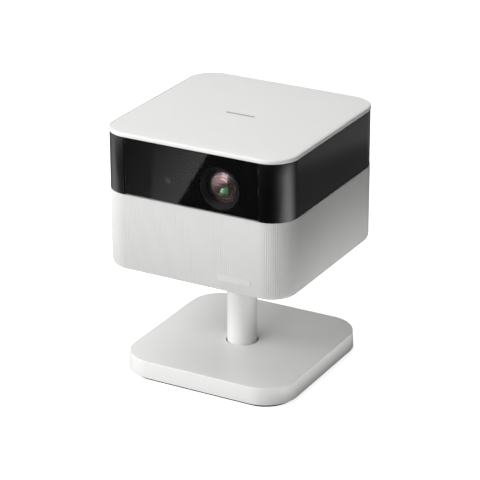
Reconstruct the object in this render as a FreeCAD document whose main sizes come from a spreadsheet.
"""Home projector: a square head on a swivel pole, which stands in a weighted square base.

Frame: the origin is on the floor under the middle of the base, +Z up. The lens looks along -Y, and +X is on
the right of somebody who looks at the lens. Units are millimetres.
"""

import FreeCAD, Part
import math
import os

import Sketcher
from FreeCAD import Placement, Rotation, Vector

doc = FreeCAD.newDocument("home_projector")
sheet = doc.addObject("Spreadsheet::Sheet", "dims")
nodes = []


# ---------------------------------------------------------------- sizes


class Size:
    """A length with its value now and the formula that gives it from the spreadsheet's cells."""

    def __init__(self, value, formula):
        self.value = float(value)
        self.formula = formula

    def __add__(self, other):
        other = size(other)
        return Size(self.value + other.value, f"({self.formula} + {other.formula})")

    def __sub__(self, other):
        other = size(other)
        return Size(self.value - other.value, f"({self.formula} - {other.formula})")

    def __mul__(self, other):
        other = size(other)
        return Size(self.value * other.value, f"({self.formula} * {other.formula})")

    def __truediv__(self, other):
        other = size(other)
        return Size(self.value / other.value, f"({self.formula} / {other.formula})")

    def __neg__(self):
        return Size(-self.value, f"(0 - {self.formula})")

    def __radd__(self, other):
        return size(other) + self

    def __rsub__(self, other):
        return size(other) - self

    def __rmul__(self, other):
        return size(other) * self


def size(value):
    return value if isinstance(value, Size) else Size(value, repr(float(value)))


def cell(alias, value, note):
    """Puts one driving dimension on the next row of the spreadsheet and returns it."""
    cell.row += 1
    sheet.set(f"A{cell.row}", alias)
    sheet.set(f"B{cell.row}", str(value))
    sheet.setAlias(f"B{cell.row}", alias)
    sheet.set(f"C{cell.row}", note)
    return Size(value, f"dims.{alias}")


cell.row = 0

# The head's outside, from the bottom up.
head_width = cell("head_width", 190.0, "head, across and front to rear")
head_corner = cell("head_corner", 26.0, "radius of the head's upright corners")
head_bottom = cell("head_bottom", 114.0, "underside of the head")
bottom_rim = cell("bottom_rim", 3.4, "height of the bottom cover's rim")
case_top = cell("case_top", 188.6, "top of the light lower case")
band_top = cell("band_top", 243.6, "top of the black band")
head_top = cell("head_top", 247.8, "top of the cover")
cover_round = cell("cover_round", 1.2, "rounding of the top cover's rim")
wall = cell("wall", 2.0, "moulded wall")
skin = cell("skin", 1.0, "thickness of the ribbed skin")
lip = cell("lip", 1.0, "height of the lower case's bare top lip")
band_inset = cell("band_inset", 0.4, "how far the band stands back from the case")
band_wall = cell("band_wall", 2.6, "wall of the black band, and the window's thickness")
seam = cell("seam", 0.1, "shadow gap between two casings")

# Front window, lens and sensors.
window_half = cell("window_half", 68.8, "half the front window's width")
mask_thick = cell("mask_thick", 1.2, "black mask behind the window")
lens_x = cell("lens_x", 28.2, "lens axis, to the right of the middle")
lens_z = cell("lens_z", 211.5, "height of the lens axis")
lens_hole = cell("lens_hole", 21.4, "radius of the mask's lens hole")
glass_radius = cell("glass_radius", 15.4, "radius of the front element")
barrel_inner = cell("barrel_inner", 18.0, "inside radius of the lens barrel")
barrel_outer = cell("barrel_outer", 20.4, "outside radius of the lens barrel")
bezel_radius = cell("bezel_radius", 19.8, "outside radius of the bezel in front of the glass")
barrel_front = cell("barrel_front", -89.4, "front end of the lens, at its bezel")
barrel_rear = cell("barrel_rear", -38.0, "rear end of the barrel")
sensor_left_x = cell("sensor_left_x", -24.4, "camera sensor behind the window")
sensor_right_x = cell("sensor_right_x", 58.4, "remote receiver behind the window")
sensor_z = cell("sensor_z", 209.5, "height of both sensors")

# Focus drive.
gear_module = cell("gear_module", 0.5, "tooth size of the focus drive")
ring_teeth = cell("ring_teeth", 98, "teeth of the focus ring")
pinion_teeth = cell("pinion_teeth", 14, "teeth of the motor pinion")
gear_face = cell("gear_face", 7.0, "width of the focus ring")
gear_front = cell("gear_front", -70.0, "front face of the focus ring")
mesh_angle = cell("mesh_angle", 150, "direction of the pinion from the lens axis, in degrees")
motor_radius = cell("motor_radius", 6.0, "focus motor can")

# Stand.
base_width = cell("base_width", 175.0, "base plate, across and front to rear")
base_corner = cell("base_corner", 33.0, "radius of the base's upright corners")
base_top = cell("base_top", 20.7, "top of the base")
base_round = cell("base_round", 0.8, "rounding of the base's top rim")
foot_height = cell("foot_height", 3.6, "rubber foot under the base")
foot_width = cell("foot_width", 165.0, "rubber foot, across")
foot_corner = cell("foot_corner", 28.0, "corner radius of the foot")
base_wall = cell("base_wall", 2.8, "wall of the base cover")
plate_thick = cell("plate_thick", 2.0, "steel plate under the base")
pole_radius = cell("pole_radius", 14.25, "pole")
pole_wall = cell("pole_wall", 2.0, "wall of the pole tube")
pole_hole = cell("pole_hole", 15.4, "hole in the base cover round the pole")
running = cell("running", 0.05, "radial clearance of a running fit")
flange_top = cell("flange_top", 6.0, "seat of the pole tube on its flange")
tube_top = cell("tube_top", 118.0, "top end of the pole tube")

# Tilt hinge.
hinge_z = cell("hinge_z", 132.0, "height of the tilt axis")
axle_radius = cell("axle_radius", 5.0, "tilt axle")
knuckle_half = cell("knuckle_half", 10.0, "half the knuckle's width across its flats")
slot_half = cell("slot_half", 15.5, "half the width of the slot for the pole")
slot_front = cell("slot_front", 18.8, "how far the slot reaches in front of the pole's axis")
slot_top = cell("slot_top", 147.5, "top of the slot for the pole")
well_wall = cell("well_wall", 2.0, "wall of the well round the pole")
ear_thick = cell("ear_thick", 3.0, "steel of the tilt bracket")

# Speakers.
speaker_x = cell("speaker_x", 44.0, "each speaker, from the middle")
speaker_z = cell("speaker_z", 151.0, "height of the speakers")
speaker_front = cell("speaker_front", -88.0, "front face of the speaker box")
cone_radius = cell("cone_radius", 18.0, "speaker cone")

# Fans, engine, boards.
fan_depth = cell("fan_depth", 15.0, "depth of both fans")
exhaust_x = cell("exhaust_x", -37.0, "axis of the exhaust fan")
exhaust_z = cell("exhaust_z", 216.0, "height of the exhaust fan's axis")
exhaust_side = cell("exhaust_side", 50.0, "exhaust fan, across")
intake_x = cell("intake_x", -54.0, "axis of the intake fan")
intake_y = cell("intake_y", 32.0, "axis of the intake fan")
intake_side = cell("intake_side", 60.0, "intake fan, across")
chassis_z = cell("chassis_z", 153.0, "underside of the chassis plate")
chassis_thick = cell("chassis_thick", 2.4, "chassis plate")
engine_bottom = cell("engine_bottom", 192.0, "underside of the optical engine")
engine_top = cell("engine_top", 234.0, "top of the optical engine, under its lid")
prism_y = cell("prism_y", -18.0, "middle of the prism, front to rear")
board_z = cell("board_z", 196.0, "underside of the main board")
board_thick = cell("board_thick", 1.6, "printed circuit board")
button_z = cell("button_z", 224.0, "height of the row of buttons")
button_radius = cell("button_radius", 4.0, "button cap")

head_half = head_width / 2
band_half = head_half - band_inset
band_bottom = case_top + seam
window_back = band_half - band_wall
base_half = base_width / 2
zero = size(0)


# ---------------------------------------------------------------- building blocks

TURNED = {
    "x": Rotation(Vector(0, 1, 0), 90),
    "y": Rotation(Vector(1, 0, 0), -90),
    "z": Rotation(),
}


def bind(thing, **sizes):
    """Ties properties to the spreadsheet; two underscores in a name stand for a dot."""
    for name, value in sizes.items():
        thing.setExpression(name.replace("__", "."), size(value).formula)
    return thing


def place(thing, x, y, z, rotation=Rotation()):
    thing.Placement = Placement(Vector(0, 0, 0), rotation)
    return bind(thing, Placement__Base__x=x, Placement__Base__y=y, Placement__Base__z=z)


def box(x, y, z):
    """A box from the low to the high end of each of its three spans."""
    made = doc.addObject("Part::Box", "box")
    (x0, x1), (y0, y1), (z0, z1) = (tuple(size(v) for v in span) for span in (x, y, z))
    bind(made, Length=x1 - x0, Width=y1 - y0, Height=z1 - z0)
    return place(made, x0, y0, z0)


def on_axis(axis, centre, start):
    """The point at `start` along an axis, whose other two coordinates are `centre`, in X, Y, Z order."""
    a, b = centre
    return {"x": (start, a, b), "y": (a, start, b), "z": (a, b, start)}[axis]


def cylinder(axis, centre, radius, span):
    made = doc.addObject("Part::Cylinder", "cylinder")
    low, high = size(span[0]), size(span[1])
    bind(made, Radius=radius, Height=high - low)
    return place(made, *on_axis(axis, centre, low), TURNED[axis])


def cone(axis, centre, low_radius, high_radius, span):
    made = doc.addObject("Part::Cone", "cone")
    low, high = size(span[0]), size(span[1])
    bind(made, Radius1=low_radius, Radius2=high_radius, Height=high - low)
    return place(made, *on_axis(axis, centre, low), TURNED[axis])


def sphere(centre, radius):
    return place(bind(doc.addObject("Part::Sphere", "sphere"), Radius=radius), *centre)


def torus(axis, centre, at, ring_radius, tube_radius):
    made = doc.addObject("Part::Torus", "torus")
    bind(made, Radius1=ring_radius, Radius2=tube_radius)
    return place(made, *on_axis(axis, centre, at), TURNED[axis])


def fuse(*shapes):
    made = doc.addObject("Part::MultiFuse", "fuse")
    made.Shapes = list(shapes)
    return made


def cut(base, *tools):
    made = doc.addObject("Part::Cut", "cut")
    made.Base = base
    made.Tool = tools[0] if len(tools) == 1 else fuse(*tools)
    return made


def common(first, second):
    made = doc.addObject("Part::Common", "common")
    made.Base = first
    made.Tool = second
    return made


def tube(axis, centre, outer, inner, span):
    return cut(cylinder(axis, centre, outer, span), cylinder(axis, centre, inner, span))


def group(*solids):
    """Several separate solids that share one node."""
    made = doc.addObject("Part::Compound", "group")
    made.Links = list(solids)
    return made


def node(name, made):
    made.Label = name
    nodes.append(made)
    return made


# ---------------------------------------------------------------- sketched bodies


def new_body():
    return doc.addObject("PartDesign::Body", "body")


def origin_plane(body, role):
    return next(f for f in body.Origin.OriginFeatures if f.Role == role)


def new_sketch(body, role, offset):
    """A sketch on one of the body's own origin planes, moved along that plane's normal."""
    sketch = body.newObject("Sketcher::SketchObject", "sketch")
    sketch.AttachmentSupport = (origin_plane(body, role), [""])
    sketch.MapMode = "FlatFace"
    return bind(sketch, AttachmentOffset__Base__z=offset)


def driving(sketch, kind, name, value, *where):
    """Adds a dimension to a sketch and ties it to the spreadsheet."""
    index = sketch.addConstraint(Sketcher.Constraint(kind, *where, size(value).value))
    sketch.renameConstraint(index, name)
    sketch.setExpression(f"Constraints.{name}", size(value).formula)


def rounded_rectangle(sketch, x, y, radius):
    """A rectangle with four equal corner arcs, between the low and high ends of its spans."""
    (x0, x1), (y0, y1) = (tuple(size(v).value for v in span) for span in (x, y))
    r = size(radius).value
    sides = [
        ((x0 + r, y0), (x1 - r, y0)),
        ((x1, y0 + r), (x1, y1 - r)),
        ((x1 - r, y1), (x0 + r, y1)),
        ((x0, y1 - r), (x0, y0 + r)),
    ]
    lines = [
        sketch.addGeometry(Part.LineSegment(Vector(*a, 0), Vector(*b, 0)), False) for a, b in sides
    ]
    turns = [(x1 - r, y0 + r, -90), (x1 - r, y1 - r, 0), (x0 + r, y1 - r, 90), (x0 + r, y0 + r, 180)]
    arcs = []
    for cx, cy, start in turns:
        circle = Part.Circle(Vector(cx, cy, 0), Vector(0, 0, 1), r)
        turn = Part.ArcOfCircle(circle, math.radians(start), math.radians(start + 90))
        arcs.append(sketch.addGeometry(turn, False))
    for k in range(4):
        sketch.addConstraint(Sketcher.Constraint("Tangent", lines[k], 2, arcs[k], 1))
        sketch.addConstraint(Sketcher.Constraint("Tangent", arcs[k], 2, lines[(k + 1) % 4], 1))
    for k in (0, 2):
        sketch.addConstraint(Sketcher.Constraint("Horizontal", lines[k]))
        sketch.addConstraint(Sketcher.Constraint("Vertical", lines[k + 1]))
    for k in (1, 2, 3):
        sketch.addConstraint(Sketcher.Constraint("Equal", arcs[0], arcs[k]))
    driving(sketch, "Radius", "corner", radius, arcs[0])
    driving(sketch, "DistanceX", "left", x[0], -1, 1, lines[3], 1)
    driving(sketch, "DistanceX", "right", x[1], -1, 1, lines[1], 1)
    driving(sketch, "DistanceY", "low", y[0], -1, 1, lines[0], 1)
    driving(sketch, "DistanceY", "high", y[1], -1, 1, lines[2], 1)


def square(half):
    """The two equal spans of a square about the origin."""
    return (-half, half), (-half, half)


def pad(body, spans, radius, low, high):
    """A rounded slab between two heights, added to a body."""
    sketch = new_sketch(body, "XY_Plane", low)
    rounded_rectangle(sketch, *spans, radius)
    made = body.newObject("PartDesign::Pad", "pad")
    made.Profile = sketch
    bind(made, Length=size(high) - low)
    doc.recompute()
    return made


def pocket(body, spans, radius, low, high):
    """A rounded hollow between two heights, cut down from the upper one."""
    sketch = new_sketch(body, "XY_Plane", high)
    rounded_rectangle(sketch, *spans, radius)
    made = body.newObject("PartDesign::Pocket", "pocket")
    made.Profile = sketch
    bind(made, Length=size(high) - low)
    doc.recompute()
    return made


def soften(body, level, radius):
    """Rounds every edge of a body that lies at one height."""
    level = size(level).value
    base = body.Tip
    names = []
    for k, edge in enumerate(base.Shape.Edges, start=1):
        bounds = edge.BoundBox
        if abs(bounds.ZMin - level) < 1e-4 and abs(bounds.ZMax - level) < 1e-4:
            names.append(f"Edge{k}")
    made = body.newObject("PartDesign::Fillet", "fillet")
    made.Base = (base, names)
    bind(made, Radius=radius)
    doc.recompute()
    return made


def polygon(sketch, points):
    """A closed outline whose corners are tied to the spreadsheet, two dimensions each."""
    corners = [Vector(size(a).value, size(b).value, 0) for a, b in points]
    lines = [
        sketch.addGeometry(Part.LineSegment(a, b), False) for a, b in zip(corners, corners[1:] + corners[:1])
    ]
    for k, line in enumerate(lines):
        sketch.addConstraint(Sketcher.Constraint("Coincident", line, 2, lines[(k + 1) % len(lines)], 1))
        driving(sketch, "DistanceX", f"across_{k}", points[k][0], -1, 1, line, 1)
        driving(sketch, "DistanceY", f"up_{k}", points[k][1], -1, 1, line, 1)


def round_about(body, feature, count):
    """Repeats a feature evenly about the body's own Z axis."""
    made = body.newObject("PartDesign::PolarPattern", "pattern")
    made.Originals = [feature]
    made.Axis = (next(f for f in body.Origin.OriginFeatures if f.Role == "Z_Axis"), [""])
    made.Angle = 360
    bind(made, Occurrences=count)
    body.Tip = made
    doc.recompute()
    return made


def disc(body, radius, low, high, bore=None):
    """A round slab, with an optional bore, added to a body about its own Z axis."""
    sketch = new_sketch(body, "XY_Plane", low)
    for name, r in (("rim", radius), ("bore", bore)):
        if r is not None:
            circle = sketch.addGeometry(Part.Circle(Vector(), Vector(0, 0, 1), size(r).value), False)
            sketch.addConstraint(Sketcher.Constraint("Coincident", circle, 3, -1, 1))
            driving(sketch, "Radius", name, r, circle)
    made = body.newObject("PartDesign::Pad", "disc")
    made.Profile = sketch
    bind(made, Length=size(high) - low)
    doc.recompute()
    return made


def gear(teeth, bore, face):
    """A spur gear from z 0 to its face width, with straight-sided teeth and one tooth on +X."""
    pitch = gear_module * teeth / 2
    root, tip = pitch - 1.2 * gear_module, pitch + 0.9 * gear_module
    body = new_body()
    disc(body, root, 0, face, bore)
    tooth = body.newObject("Sketcher::SketchObject", "tooth")
    tooth.AttachmentSupport = (origin_plane(body, "XY_Plane"), [""])
    tooth.MapMode = "FlatFace"
    foot, crest = 0.85 * gear_module, 0.3 * gear_module
    inside = root - 0.5 * gear_module
    outline = [(inside, -foot), (root, -foot), (tip, -crest), (tip, crest), (root, foot), (inside, foot)]
    polygon(tooth, outline)
    made = body.newObject("PartDesign::Pad", "tooth_pad")
    made.Profile = tooth
    bind(made, Length=face)
    doc.recompute()
    round_about(body, made, teeth)
    return body


def rotor(hub_radius, tip_radius, depth, blades):
    """A fan rotor about Z: a closed hub with pitched blades."""
    body = new_body()
    disc(body, hub_radius, 0, depth)
    sketch = body.newObject("Sketcher::SketchObject", "blade")
    sketch.AttachmentSupport = (origin_plane(body, "YZ_Plane"), [""])
    sketch.MapMode = "FlatFace"
    sketch.AttachmentOffset = Placement(Vector(0, 0, 0), Rotation(Vector(0, 0, 1), 38))
    bind(sketch, AttachmentOffset__Base__y=size(depth) / 2, AttachmentOffset__Base__z=hub_radius * 0.8)
    chord, thick = size(depth) * 0.62, 0.6
    rounded_rectangle(sketch, (-chord, chord), (-thick, thick), 0.5)
    made = body.newObject("PartDesign::Pad", "blade_pad")
    made.Profile = sketch
    bind(made, Length=tip_radius - hub_radius * 0.8)
    doc.recompute()
    round_about(body, made, blades)
    return body


def screw(centre, head_at, tip_at):
    """A slotted pan-head screw that points up, from the underside of its head to its tip."""
    a, b = (size(v) for v in centre)
    neck = size(head_at) + 1.6
    body = fuse(cylinder("z", centre, 2.7, (head_at, neck)), cylinder("z", centre, 1.4, (neck, tip_at)))
    return cut(body, box((a - 2, a + 2), (b - 0.35, b + 0.35), (head_at, size(head_at) + 0.7)))


# ---------------------------------------------------------------- head casing


def shell_slab(body, half, radius, low, high):
    return pad(body, square(half), radius, low, high)


def shell_hollow(body, half, radius, low, high):
    return pocket(body, square(half), radius, low, high)


def corner_points(half):
    """The four corners of a square about the origin, as pairs of sizes."""
    return [(half * sx, half * sy) for sx in (-1, 1) for sy in (-1, 1)]


cover_corner = head_half - 16
cover_inner = band_half - band_wall - 0.3
shelf_low = band_top - 10.2
shelf_high = band_top - 7.6


def top_cover():
    """White lid with a rounded rim, a skirt that drops inside the band, and four screw posts."""
    body = new_body()
    skirt_corner = head_corner - (head_half - cover_inner)
    ceiling = head_top - 1.9
    shell_slab(body, head_half, head_corner, band_top + seam, head_top)
    soften(body, head_top, cover_round)
    shell_slab(body, cover_inner, skirt_corner, band_top - 3.1, band_top + seam)
    shell_hollow(body, cover_inner - 1.7, skirt_corner - 1.7, band_top - 3.1, ceiling)
    posts = [cylinder("z", p, 3.5, (shelf_high, ceiling + 0.5)) for p in corner_points(cover_corner)]
    pilots = [cylinder("z", p, 1.4, (shelf_high, ceiling - 0.5)) for p in corner_points(cover_corner)]
    recess = box((-15.0, 15.0), (-3.4, -0.6), (head_top - 0.4, head_top + 1))
    return cut(fuse(body, *posts), recess, *pilots)


def top_inlay():
    """A plain pale bar let into the lid."""
    return box((-15.0, 15.0), (-3.4, -0.6), (head_top - 0.4, head_top))


def band_shell():
    """Black band round three sides and both front corners, with a shelf that carries the lid's screws."""
    body = new_body()
    inner_corner = head_corner - band_inset - band_wall
    shell_slab(body, band_half, head_corner - band_inset, band_bottom, band_top)
    shell_hollow(body, window_back, inner_corner, shelf_high, band_top)
    shell_hollow(body, window_back, inner_corner, band_bottom, shelf_low)
    shell_hollow(body, 86, 40, shelf_low, shelf_high)
    front = box((-window_half - 0.2, window_half + 0.2), (-head_half, -window_back), (case_top, band_top + 1))
    rear = box((panel_left, panel_right), (window_back, head_half), (panel_low, panel_high))
    holes = [cylinder("z", p, 1.6, (shelf_low - 1, shelf_high + 1)) for p in corner_points(cover_corner)]
    fan_room = box((exhaust_x - 26, exhaust_x + 26), (80, window_back + 0.1), (shelf_low - 1, shelf_high + 1))
    return cut(body, front, rear, fan_room, *holes)


def cover_screws():
    return group(*[screw(p, shelf_low - 1.6, band_top - 1) for p in corner_points(cover_corner)])


def front_window():
    """Flat smoked panel across the front of the band, from corner to corner."""
    return box((-window_half, window_half), (-band_half, -window_back), (band_bottom + 0.1, band_top - 0.1))


def window_mask():
    """Black sheet behind the window, open for the lens and both sensors."""
    depth = (-window_back, -window_back + mask_thick)
    sheet_box = box((-window_half + 1, window_half - 1), depth, (band_bottom + 0.3, shelf_low - 0.2))
    through = (-window_back - 1, -window_back + mask_thick + 1)
    lens = cylinder("y", (lens_x, lens_z), lens_hole, through)
    eyes = [cylinder("y", (x, sensor_z), 3, through) for x in sensors]
    return cut(sheet_box, lens, *eyes)


def ribbed_skin():
    """Outer skin of the lower case. The badge sits in a window near the right end of its front."""
    body = new_body()
    low, high = head_bottom + bottom_rim, case_top - lip
    shell_slab(body, head_half, head_corner, low, high)
    shell_hollow(body, head_half - skin, head_corner - skin, low, high)
    return cut(body, pole_slot_at_rear(), box(badge_x, (-head_half - 1, -head_half + skin), badge_z))


def pole_slot_at_rear():
    return box((-slot_half, slot_half), (window_back - 1, head_half + 1), (head_bottom - 1, slot_top))


def lower_case():
    """Light case under the band, with a bare lip round its top and sound slots in front of each speaker."""
    body = new_body()
    low = head_bottom + bottom_rim
    shell_slab(body, head_half - skin, head_corner - skin, low, case_top)
    shell_slab(body, head_half, head_corner, case_top - lip, case_top)
    shell_hollow(body, window_back, head_corner - skin - wall, low, case_top)
    slots = []
    for side in (-1, 1):
        for k in range(-4, 5):
            middle = speaker_x * side + 4.6 * k
            slots.append(box((middle - 1.2, middle + 1.2), (-head_half + skin, -window_back + 1),
                             (speaker_z - 18, speaker_z + 18)))
    return cut(body, pole_slot_at_rear(), *slots)


def bottom_cover():
    """Floor of the head, open for the pole, with air slots under the intake fan and four chassis posts."""
    body = new_body()
    floor_top = head_bottom + 2.4
    shell_slab(body, head_half, head_corner, head_bottom, head_bottom + bottom_rim)
    soften(body, head_bottom, 3.1)
    shell_hollow(body, window_back - 0.5, 22.5, floor_top, head_bottom + bottom_rim)
    posts = [cylinder("z", (x, y), 4, (head_bottom + 1.5, chassis_z)) for x in (-82, 82) for y in (-12, 70)]
    slot = box((-slot_half, slot_half), (-slot_front, head_half + 1), (head_bottom - 1, head_bottom + 5))
    vents = [
        box((intake_x - 26, intake_x + 26), (intake_y + 4.8 * k - 1.2, intake_y + 4.8 * k + 1.2),
            (head_bottom - 1, head_bottom + 3))
        for k in range(-5, 6)
    ]
    return cut(fuse(body, *posts), slot, *vents)


def tilt_well():
    """Wall round the slot that the pole swings in."""
    floor_top = head_bottom + 2.4
    rear = window_back - 0.6
    outer = box((-slot_half - well_wall, slot_half + well_wall), (-slot_front - well_wall, rear),
                (floor_top, slot_top + well_wall))
    inner = box((-slot_half, slot_half), (-slot_front, rear + 1), (head_bottom, slot_top))
    holes = cylinder("x", (0, hinge_z), axle_radius + 0.2, (-slot_half - 4, slot_half + 4))
    return cut(outer, inner, holes)


def rear_panel():
    """Panel in the rear of the band: sockets and buttons on one half, exhaust slots on the other."""
    face = band_half - 0.2
    width, height = (panel_left + 0.1, panel_right - 0.1), (panel_low + 0.1, panel_high - 0.1)
    plate = box(width, (window_back, face), height)
    posts = [cylinder("y", (x, button_z), 2.2, (84.6, window_back + 1)) for x in (18, 48)]
    through = (window_back - 1, head_half + 1)
    buttons = [cylinder("y", (x, button_z), button_radius + 0.35, through) for x in button_places.values()]
    slots = [
        box((exhaust_x - 23, exhaust_x + 23), through, (exhaust_z + 3.6 * k - 0.9, exhaust_z + 3.6 * k + 0.9))
        for k in range(-6, 7)
    ]
    sockets = [
        box((22.2, 37.8), through, (197.4, 204.0)),
        box((4.2, 17.8), through, (197.4, 204.0)),
        cylinder("y", (jack_x, socket_z), 3.2, through),
        cylinder("y", (inlet_x, socket_z + 1.4), 4.4, through),
    ]
    return cut(fuse(plate, *posts), *buttons, *slots, *sockets)


def speaker_badge():
    """Plain bar let into the ribbed skin."""
    return box((badge_x[0] + 0.1, badge_x[1] - 0.1), (-head_half, -head_half + skin),
               (badge_z[0] + 0.1, badge_z[1] - 0.1))


sensors = (sensor_left_x, sensor_right_x)
badge_x = (size(27.4), size(61.0))
badge_z = (size(124.5), size(131.1))
panel_left, panel_right = size(-66), size(72)
panel_low, panel_high = size(191), size(241.5)
button_places = {"power_button": 10, "source_button": 26, "volume_down_button": 40, "volume_up_button": 56}
jack_x, inlet_x, socket_z = size(46), size(60), size(201)

node("top_cover", top_cover())
node("top_inlay", top_inlay())
node("band_shell", band_shell())
node("cover_screws", cover_screws())
node("front_window", front_window())
node("window_mask", window_mask())
node("ribbed_skin", ribbed_skin())
node("lower_case", lower_case())
node("bottom_cover", bottom_cover())
node("tilt_well", tilt_well())
node("rear_panel", rear_panel())
node("speaker_badge", speaker_badge())


# ---------------------------------------------------------------- buttons


def push_button(x):
    """A cap with a stop flange behind the panel and a short stem that meets its switch."""
    centre = (x, button_z)
    cap = cylinder("y", centre, button_radius, (90.0, head_half))
    flange = cylinder("y", centre, button_radius + 1.2, (90.0, window_back - 0.4))
    stem = cylinder("y", centre, 1.5, (89.2, 90.0))
    return fuse(cap, flange, stem)


def button_board():
    board = box((4, 62), (83.0, 84.6), (button_z - 7, button_z + 7))
    switches = []
    for x in button_places.values():
        switches.append(box((x - 3, x + 3), (84.6, 87.4), (button_z - 3, button_z + 3)))
        switches.append(cylinder("y", (x, button_z), 1.6, (87.4, 88.1)))
    return fuse(board, *switches)


for name, x in button_places.items():
    node(name, push_button(x))
node("button_board", button_board())


# ---------------------------------------------------------------- projection lens

lens_axis = (lens_x, lens_z)
engine_front = barrel_rear
flange_front = engine_front - 3


def lens_barrel():
    """Fixed barrel with a slot for the focus pin, a collar behind the focus ring and a mounting flange."""
    tube_part = cylinder("y", lens_axis, barrel_outer, (barrel_front + 4.2, engine_front))
    collar = cylinder("y", lens_axis, barrel_outer + 2, (gear_front + gear_face + 0.1, gear_front + 9))
    flange = box((lens_x - 33, lens_x + 26), (flange_front, engine_front), (lens_z - 15, lens_z + 21))
    bore = cylinder("y", lens_axis, barrel_inner, (barrel_front, engine_front + 1))
    pin_slot = box((lens_x - 1.4, lens_x + 1.4), (-69.6, -63.4), (lens_z + 16, lens_z + 22))
    return cut(fuse(tube_part, collar, flange), bore, pin_slot)


def lens_bezel():
    """Conical ring in front of the glass, with a step half-way down."""
    rear = barrel_front + 4.2
    ring = cylinder("y", lens_axis, bezel_radius, (barrel_front, rear))
    mouth = cone("y", lens_axis, bezel_radius - 0.8, glass_radius + 1.4, (barrel_front, barrel_front + 2.6))
    throat = cone("y", lens_axis, glass_radius + 0.9, glass_radius, (barrel_front + 2.6, rear))
    return cut(ring, mouth, throat)


def front_element():
    """Front glass: a cap that bulges into the bezel, on a wide rim that the barrel holds."""
    rim_front = barrel_front + 4.2
    rim = cylinder("y", lens_axis, barrel_inner, (rim_front, rim_front + 4.4))
    bulge = common(sphere((lens_x, rim_front + 37.6, lens_z), 40),
                   cylinder("y", lens_axis, glass_radius - 0.1, (barrel_front, rim_front + 1)))
    return fuse(rim, bulge)


def focus_cell():
    """Sliding cell for the rear glass, with a pin that stands in the barrel's slot."""
    tube_part = cylinder("y", lens_axis, barrel_inner - running, (-74, -50))
    pin = cylinder("z", (lens_x, -66.5), 1.2, (lens_z + 16, lens_z + 20.1))
    return cut(fuse(tube_part, pin), cylinder("y", lens_axis, 15, (-75, -49)))


def rear_element():
    disc_part = cylinder("y", lens_axis, 15, (-67, -56))
    return common(disc_part, sphere((lens_x, -54, lens_z), 19))


def focus_ring():
    body = gear(ring_teeth, barrel_outer + running, gear_face)
    turned = TURNED["y"] * Rotation(Vector(0, 0, 1), -mesh_angle.value)
    return place(body, lens_x, gear_front, lens_z, turned)


def focus_clip():
    """Ring in front of the focus ring that keeps it on the barrel."""
    return tube("y", lens_axis, barrel_outer + 2, barrel_outer, (gear_front - 2, gear_front - 0.1))


pinion_reach = gear_module * (ring_teeth + pinion_teeth) / 2
pinion_x = lens_x + Size(pinion_reach.value * math.cos(math.radians(mesh_angle.value)),
                         f"({pinion_reach.formula} * cos(dims.mesh_angle * 1deg))")
pinion_z = lens_z + Size(pinion_reach.value * math.sin(math.radians(mesh_angle.value)),
                         f"({pinion_reach.formula} * sin(dims.mesh_angle * 1deg))")


def focus_pinion():
    """Pinion and its shaft. A gap between two teeth faces the focus ring."""
    body = gear(pinion_teeth, None, gear_face + 1)
    half_tooth = 180 / pinion_teeth.value
    turned = TURNED["y"] * Rotation(Vector(0, 0, 1), 180 - mesh_angle.value + half_tooth)
    place(body, pinion_x, gear_front - 0.5, pinion_z, turned)
    shaft = cylinder("y", (pinion_x, pinion_z), 1, (gear_front - 2, -50))
    return fuse(body, shaft)


def focus_motor():
    can = cylinder("y", (pinion_x, pinion_z), motor_radius, (-60, flange_front))
    return cut(can, cylinder("y", (pinion_x, pinion_z), 1 + running, (-61, -49.5)))


node("lens_barrel", lens_barrel())
node("lens_bezel", lens_bezel())
node("front_element", front_element())
node("focus_cell", focus_cell())
node("rear_element", rear_element())
node("focus_ring", focus_ring())
node("focus_clip", focus_clip())
node("focus_pinion", focus_pinion())
node("focus_motor", focus_motor())


# ---------------------------------------------------------------- light engine

engine_x = (size(-24), size(80))
engine_rear = size(36)
light_y, light_z = prism_y, lens_z


def engine_housing():
    """Open die-cast tray round the prism, the panels and the lamps, with a hole for the lens in its front."""
    outer = box(engine_x, (engine_front, engine_rear), (engine_bottom, engine_top))
    inner = box((engine_x[0] + 2, engine_x[1] - 2), (engine_front + 2, engine_rear - 2),
                (engine_bottom + 2, engine_top + 1))
    mouth = cylinder("y", lens_axis, barrel_inner, (engine_front - 1, engine_front + 3))
    seat = box((lens_x - 12, lens_x + 12), (light_y - 12, light_y + 12), (engine_bottom + 1, light_z - 11))
    return fuse(cut(outer, inner, mouth), seat)


def engine_lid():
    plate = box(engine_x, (engine_front, engine_rear), (engine_top, engine_top + 2))
    ribs = [box((x - 1, x + 1), (engine_front + 4, engine_rear - 4), (engine_top + 2, engine_top + 4))
            for x in (4, 28, 52)]
    return fuse(plate, *ribs)


def prism():
    """Colour-combining cube."""
    return box((lens_x - 11, lens_x + 11), (light_y - 11, light_y + 11), (light_z - 11, light_z + 11))


def around_prism(shape_at):
    """One shape on each lit side of the prism: left, right and rear."""
    return group(shape_at("x", -1), shape_at("x", 1), shape_at("y", 1))


def span(direction, origin, near, far):
    """A span along an axis from `near` to `far`, measured from the prism's middle, in low-high order."""
    ends = (origin + near * direction, origin + far * direction)
    return ends if direction > 0 else (ends[1], ends[0])


def lcd_panel(axis, direction):
    height = (light_z - 9, light_z + 9)
    if axis == "x":
        return box(span(direction, lens_x, 12.5, 14), (light_y - 11, light_y + 11), height)
    return box((lens_x - 11, lens_x + 11), span(direction, light_y, 12.5, 14), height)


def condenser(axis, direction):
    """Plano-convex lens with its curved side towards the lamp."""
    origin, centre = (lens_x, (light_y, light_z)) if axis == "x" else (light_y, (lens_x, light_z))
    rod = cylinder(axis, centre, 11, span(direction, origin, 22, 32))
    middle = on_axis(axis, centre, origin + 9 * direction)
    return common(rod, sphere(middle, 20))


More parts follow.
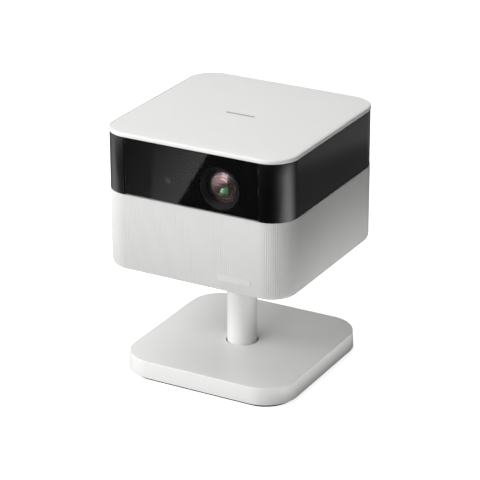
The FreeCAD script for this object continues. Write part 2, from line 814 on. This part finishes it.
def led_module(axis, direction):
    """Lamp on its square heat spreader, which rests on the housing's wall."""
    if axis == "x":
        wall_face = (engine_x[1] - 2 - lens_x) if direction > 0 else (lens_x - engine_x[0] - 2)
        origin, across = lens_x, light_y
    else:
        wall_face = engine_rear - 2 - light_y
        origin, across = light_y, lens_x
    parts = []
    for half, near, far in ((11, wall_face - 4, wall_face), (4, wall_face - 5.5, wall_face - 4)):
        along, sideways = span(direction, origin, near, far), (across - half, across + half)
        x, y = (along, sideways) if axis == "x" else (sideways, along)
        parts.append(box(x, y, (light_z - half, light_z + half)))
    return fuse(*parts)


node("engine_housing", engine_housing())
node("engine_lid", engine_lid())
node("prism", prism())
node("lcd_panels", around_prism(lcd_panel))
node("condenser_lenses", around_prism(condenser))
node("led_modules", around_prism(led_module))


# ---------------------------------------------------------------- cooling

sink_x = (exhaust_x - 25, exhaust_x + 25)
sink_y = (size(44), size(70))
pipe_y = (sink_y[0] + sink_y[1]) / 2
pipe_levels = (lens_z - 6, lens_z + 6)
pipe_x = engine_x[0] - 5


def heat_sink():
    """Stack of upright fins between two plates, in front of the exhaust fan."""
    low, high = exhaust_z - 23, exhaust_z + 23
    plates = [box(sink_x, sink_y, (low, low + 0.8)), box(sink_x, sink_y, (high - 0.8, high))]
    fins = [box((sink_x[0] + 2.55 * k, sink_x[0] + 2.55 * k + 0.6), sink_y, (low, high)) for k in range(20)]
    bores = [cylinder("x", (pipe_y, z), 3, (sink_x[0] - 1, pipe_x)) for z in pipe_levels]
    elbows = [sphere((pipe_x, pipe_y, z), 3) for z in pipe_levels]
    uprights = [cylinder("y", (pipe_x, z), 3, (prism_y, pipe_y)) for z in pipe_levels]
    return cut(fuse(*plates, *fins), *bores, *elbows, *uprights)


def heat_pipes():
    """Copper plate on the engine's side, and two bent pipes from it through the fins."""
    plate = box((engine_x[0] - 4, engine_x[0]), (prism_y - 12, prism_y + 12), (lens_z - 11, lens_z + 11))
    runs = []
    for z in pipe_levels:
        runs.append(cylinder("y", (pipe_x, z), 3, (prism_y - 12, pipe_y)))
        runs.append(sphere((pipe_x, pipe_y, z), 3))
        runs.append(cylinder("x", (pipe_y, z), 3, (sink_x[0], pipe_x)))
    return fuse(plate, *runs)


def fan_frame(axis, centre, side, low, hub):
    """Square fan frame with a round duct, four arms, a motor seat and its pin, at the low end."""
    high = low + fan_depth
    duct_radius = side / 2 - 1.5
    a, b = centre
    half = side / 2
    if axis == "z":
        square_part = box((a - half, a + half), (b - half, b + half), (low, high))
        arms = [box((a - half, a + half), (b - 1.2, b + 1.2), (low, low + 1.5)),
                box((a - 1.2, a + 1.2), (b - half, b + half), (low, low + 1.5))]
    else:
        square_part = box((a - half, a + half), (low, high), (b - half, b + half))
        arms = [box((a - half, a + half), (low, low + 1.5), (b - 1.2, b + 1.2)),
                box((a - 1.2, a + 1.2), (low, low + 1.5), (b - half, b + half))]
    duct = cylinder(axis, centre, duct_radius, (low - 1, high + 1))
    seat = cylinder(axis, centre, hub + 0.5, (low, low + 1.5))
    pin = cylinder(axis, centre, 1.2, (low, low + 10))
    return fuse(cut(square_part, duct), *arms, seat, pin)


def fan_rotor(axis, centre, side, low, hub):
    body = rotor(hub, side / 2 - 3.2, 11, 7)
    bore = cylinder(axis, centre, 1.2 + running, (low, low + 11))
    place(body, *on_axis(axis, centre, low + 2.2), TURNED[axis])
    return cut(body, bore)


exhaust_low = sink_y[1] + 0.8
intake_low = chassis_z + chassis_thick
node("heat_sink", heat_sink())
node("heat_pipes", heat_pipes())
node("exhaust_fan_frame", fan_frame("y", (exhaust_x, exhaust_z), exhaust_side, exhaust_low, size(9)))
node("exhaust_rotor", fan_rotor("y", (exhaust_x, exhaust_z), exhaust_side, exhaust_low, size(9)))
node("intake_fan_frame", fan_frame("z", (intake_x, intake_y), intake_side, intake_low, size(11)))
node("intake_rotor", fan_rotor("z", (intake_x, intake_y), intake_side, intake_low, size(11)))


# ---------------------------------------------------------------- chassis and electronics


def chassis():
    """Plate across the head over the pole, with posts for the engine, the board, the fan and the fins."""
    body = new_body()
    pad(body, ((-91, 91), (-22, 91)), 22, chassis_z, chassis_z + chassis_thick)
    top = chassis_z + chassis_thick - 1
    posts = [cylinder("z", (x, y), 4, (top, engine_bottom)) for x in (-18, 74) for y in (-14, 30)]
    posts += [cylinder("z", (x, y), 3, (top, board_z)) for x in (0, 66) for y in (46, 84)]
    posts += [cylinder("z", (exhaust_x + dx, 78), 4, (top, exhaust_z - 25)) for dx in (-19, 19)]
    posts += [cylinder("z", (exhaust_x + dx, 66.5), 3, (top, exhaust_z - 23)) for dx in (-19, 19)]
    duct = cylinder("z", (intake_x, intake_y), 28, (chassis_z - 1, chassis_z + 5))
    return cut(fuse(body, *posts), duct)


def main_board():
    """Main circuit board with its larger chips."""
    top = board_z + board_thick
    board = box((-8, 74), (40, 89), (board_z, top))
    chips = [box((8, 26), (48, 66), (top, top + 1.8)), box((34, 46), (46, 58), (top, top + 1.2)),
             box((34, 46), (62, 74), (top, top + 1.2)), box((54, 68), (48, 60), (top, top + 6))]
    return fuse(board, *chips)


def socket_shell(x, z):
    """Rectangular metal socket, open to the rear, with a tongue in it."""
    outer = box(x, (78, 93.4), z)
    inner = box((x[0] + 0.5, x[1] - 0.5), (80, 94), (z[0] + 0.5, z[1] - 0.5))
    middle = (z[0] + z[1]) / 2
    tongue = box((x[0] + 2.5, x[1] - 2.5), (79, 92), (middle - 0.5, middle + 0.5))
    return fuse(cut(outer, inner), tongue)


def signal_sockets():
    low = board_z + board_thick
    return group(socket_shell((size(22.5), size(37.5)), (low, low + 6)),
                 socket_shell((size(4.5), size(17.5)), (low, low + 6)))


def audio_jack():
    low = board_z + board_thick
    centre = (jack_x, socket_z)
    housing = box((jack_x - 4, jack_x + 4), (78, 91.6), (low, socket_z + 3.4))
    nose = cylinder("y", centre, 3, (91, 93.6))
    return cut(fuse(housing, nose), cylinder("y", centre, 1.8, (80, 94)))


def dc_inlet():
    low = board_z + board_thick
    centre = (inlet_x, socket_z + 1.4)
    housing = box((inlet_x - 5, inlet_x + 5), (76, 91.6), (low, socket_z + 6.4))
    nose = cylinder("y", centre, 4.2, (91, 93.8))
    contact = cylinder("y", centre, 1.1, (77, 92))
    return fuse(cut(fuse(housing, nose), cylinder("y", centre, 3.1, (80, 94))), contact)


def sensor_modules():
    """Two small sensors that look out through the mask, each on its own board."""
    back = -window_back + mask_thick
    parts = []
    for x in sensors:
        parts.append(fuse(
            box((x - 4, x + 4), (back, back + 6), (sensor_z - 4, sensor_z + 4)),
            cylinder("y", (x, sensor_z), 2.7, (back - 1, back)),
            box((x - 6, x + 6), (back + 6, back + 7), (sensor_z - 7, sensor_z + 7)),
        ))
    return group(*parts)


node("chassis", chassis())
node("main_board", main_board())
node("signal_sockets", signal_sockets())
node("audio_jack", audio_jack())
node("dc_inlet", dc_inlet())
node("sensor_modules", sensor_modules())


# ---------------------------------------------------------------- speakers

box_rear = speaker_front + 64
sides = (-speaker_x, speaker_x)


def speaker_box():
    """Closed box across the front of the lower case, with a hole for each driver."""
    outer = box((-80, 80), (speaker_front, box_rear), (head_bottom + 2.4, 184))
    inner = box((-78, 78), (speaker_front + 2, box_rear - 2), (head_bottom + 4.4, 182))
    holes = [cylinder("y", (x, speaker_z), 22, (speaker_front - 1, speaker_front + 3)) for x in sides]
    divider = box((-1, 1), (speaker_front + 1, box_rear - 1), (head_bottom + 3, 183))
    return fuse(cut(outer, inner, *holes), divider)


def speaker_frame(x):
    """Driver frame with a basket, its magnet and the pole piece inside the voice coil."""
    centre = (x, speaker_z)
    front = speaker_front
    flange = tube("y", centre, 27, 21.4, (front - 2, front))
    basket = cut(cone("y", centre, 21.9, 14.4, (front - 1, front + 20)),
                 cone("y", centre, 20.4, 12.9, (front - 1, front + 20)))
    windows = [box((x - 6, x + 6), (front + 3, front + 15), (speaker_z - 24, speaker_z + 24)),
               box((x - 24, x + 24), (front + 3, front + 15), (speaker_z - 6, speaker_z + 6))]
    plate = tube("y", centre, 14.4, 7.4, (front + 19, front + 24))
    magnet = cut(cylinder("y", centre, 14.4, (front + 24, front + 34)),
                 cylinder("y", centre, 7.4, (front + 23, front + 30)))
    core = cylinder("y", centre, 5.4, (front + 19, front + 32))
    return fuse(flange, cut(basket, *windows), plate, magnet, core)


def speaker_surround(x):
    """Soft ring between the cone and the frame, raised along its middle."""
    centre = (x, speaker_z)
    ring = tube("y", centre, 21.4, cone_radius + 0.4, (speaker_front - 2, speaker_front - 1))
    roll = common(torus("y", centre, speaker_front - 1.6, 19.9, 1.3),
                  tube("y", centre, 21.4, cone_radius + 0.4, (speaker_front - 3.2, speaker_front - 1.4)))
    return fuse(ring, roll)


def speaker_cone(x):
    """Paper cone, dust cap and voice coil."""
    centre = (x, speaker_z)
    front = speaker_front - 1.6
    paper = cut(cone("y", centre, cone_radius, 6.8, (front, front + 12)),
                cone("y", centre, cone_radius - 1.0, 5.8, (front, front + 12)))
    cap = cylinder("y", centre, 6.8, (front + 11, front + 12))
    coil = tube("y", centre, 6.8, 6.0, (front + 11, front + 26))
    return fuse(paper, cap, coil)


node("speaker_box", speaker_box())
node("speaker_frames", group(*[speaker_frame(x) for x in sides]))
node("speaker_surrounds", group(*[speaker_surround(x) for x in sides]))
node("left_cone", speaker_cone(-speaker_x))
node("right_cone", speaker_cone(speaker_x))


# ---------------------------------------------------------------- tilt hinge

hinge_axis = (zero, hinge_z)
ear_inner = slot_half + well_wall + 0.1
ear_outer = ear_inner + ear_thick


def both_sides(make, near, far):
    """The same shape on the left and on the right of the hinge."""
    return [make((near, far)), make((-far, -near))]


def tilt_bracket():
    """Steel saddle over the well; its ears hold the axle and its roof carries the chassis."""
    roof = box((-ear_outer, ear_outer), (-18, 18), (slot_top + well_wall + 0.1, chassis_z))
    ears = both_sides(lambda x: box(x, (-14, 14), (hinge_z - 11, chassis_z)), ear_inner, ear_outer)
    return cut(fuse(roof, *ears), cylinder("x", hinge_axis, axle_radius, (-30, 30)))


def tilt_axle():
    """Shoulder bolt along the tilt axis, with a nut on its far end."""
    rod = cylinder("x", hinge_axis, axle_radius, (-ear_outer - 4, ear_outer + 4))
    heads = both_sides(lambda x: cylinder("x", hinge_axis, 8, x), ear_outer, ear_outer + 3)
    return fuse(rod, *heads)


def friction_discs():
    """Two stacks of washers and dished springs that press on the knuckle's flats."""
    near = knuckle_half + 0.3
    parts = []
    for low, high in ((near, slot_half), (-slot_half, -near)):
        outer_face, inner_face = (high, low) if low.value > 0 else (low, high)
        step = 1 if low.value > 0 else -1
        washer = sorted((inner_face.value, inner_face.value + 1.4 * step))
        dish = (inner_face + 1.4 * step, outer_face)
        ends = (dish, (9.5, 7.5)) if step > 0 else ((dish[1], dish[0]), (7.5, 9.5))
        flat = tube("x", hinge_axis, 9.5, axle_radius, washer)
        dished = cone("x", hinge_axis, *ends[1], ends[0])
        parts.append(cut(fuse(flat, dished), cylinder("x", hinge_axis, axle_radius, (-30, 30))))
    return group(*parts)


def tilt_knuckle():
    """Forged top of the pole: a plug in the tube and a rounded lug with flats, bored for the axle."""
    plug = cylinder("z", (0, 0), pole_radius - pole_wall, (tube_top - 20, tube_top))
    collar = cylinder("z", (0, 0), pole_radius, (tube_top, tube_top + 2))
    flats = (-knuckle_half, knuckle_half)
    neck = common(box(flats, (-pole_radius, pole_radius), (tube_top, hinge_z)),
                  cylinder("z", (0, 0), pole_radius, (tube_top, hinge_z)))
    lug = cylinder("x", hinge_axis, pole_radius - 1, flats)
    return cut(fuse(plug, collar, neck, lug), cylinder("x", hinge_axis, axle_radius + running, (-12, 12)))


node("tilt_bracket", tilt_bracket())
node("tilt_axle", tilt_axle())
node("friction_discs", friction_discs())
node("tilt_knuckle", tilt_knuckle())


# ---------------------------------------------------------------- pole and base

plate_top = foot_height + plate_thick
weight_top = plate_top + flange_top
flange_low = weight_top + 0.1
tube_low = flange_low + 4
boss = size(60)


def pole_tube():
    return tube("z", (0, 0), pole_radius, pole_radius - pole_wall, (tube_low, tube_top))


def pole_flange():
    """Turned foot of the pole: a disc under the base cover, a plug in the tube and a spigot in the weight."""
    plate = cylinder("z", (0, 0), 30, (flange_low, tube_low))
    plug = cylinder("z", (0, 0), pole_radius - pole_wall, (tube_low, tube_low + 16))
    spigot = cylinder("z", (0, 0), 9, (plate_top + 0.3, flange_low))
    return fuse(plate, plug, spigot)


def base_cover():
    """White shell of the base, with a hole round the pole and four screw bosses."""
    body = new_body()
    low = foot_height + 0.3
    ceiling = base_top - base_wall
    shell_slab(body, base_half, base_corner, low, base_top)
    soften(body, base_top, base_round)
    soften(body, low, 0.6)
    shell_hollow(body, base_half - base_wall, base_corner - base_wall, low, ceiling)
    bosses = [cylinder("z", p, 4, (weight_top, ceiling + 1)) for p in corner_points(boss)]
    pilots = [cylinder("z", p, 1.4, (weight_top, ceiling - 1)) for p in corner_points(boss)]
    return cut(fuse(body, *bosses), cylinder("z", (0, 0), pole_hole, (ceiling - 1, base_top + 1)), *pilots)


def base_weight():
    """Steel slab that keeps the projector upright, bored for the pole's spigot."""
    body = new_body()
    shell_slab(body, 80, 26, plate_top, weight_top)
    holes = [cylinder("z", p, 1.8, (plate_top - 1, weight_top + 1)) for p in corner_points(boss)]
    return cut(body, cylinder("z", (0, 0), 9 + running, (plate_top - 1, weight_top + 1)), *holes)


def base_plate():
    body = new_body()
    shell_slab(body, base_half - base_wall - 0.3, base_corner - base_wall - 0.3, foot_height, plate_top)
    holes = [cylinder("z", p, 1.8, (foot_height - 1, plate_top + 1)) for p in corner_points(boss)]
    return cut(body, *holes)


def base_foot():
    """Rubber ring that the projector stands on."""
    body = new_body()
    shell_slab(body, foot_width / 2, foot_corner, 0, foot_height)
    shell_hollow(body, foot_width / 2 - 13, foot_corner - 13, 0, foot_height)
    return body


def base_screws():
    return group(*[screw(p, foot_height - 1.6, base_top - base_wall - 2) for p in corner_points(boss)])


node("pole_tube", pole_tube())
node("pole_flange", pole_flange())
node("base_cover", base_cover())
node("base_weight", base_weight())
node("base_plate", base_plate())
node("base_foot", base_foot())
node("base_screws", base_screws())


# ---------------------------------------------------------------- check and write

doc.recompute()
for thing in doc.Objects:
    state = set(thing.State)
    if state & {"Invalid", "Error"}:
        raise RuntimeError(f"{thing.Name} ({thing.Label}) is in state {sorted(state)}")
for made in nodes:
    if made.Shape.isNull() or not made.Shape.isValid():
        raise RuntimeError(f"{made.Label} has no valid shape")

os.makedirs("parts", exist_ok=True)
for made in nodes:
    made.Shape.exportStep(f"parts/{made.Label}.step")
print(len(nodes), "nodes written")
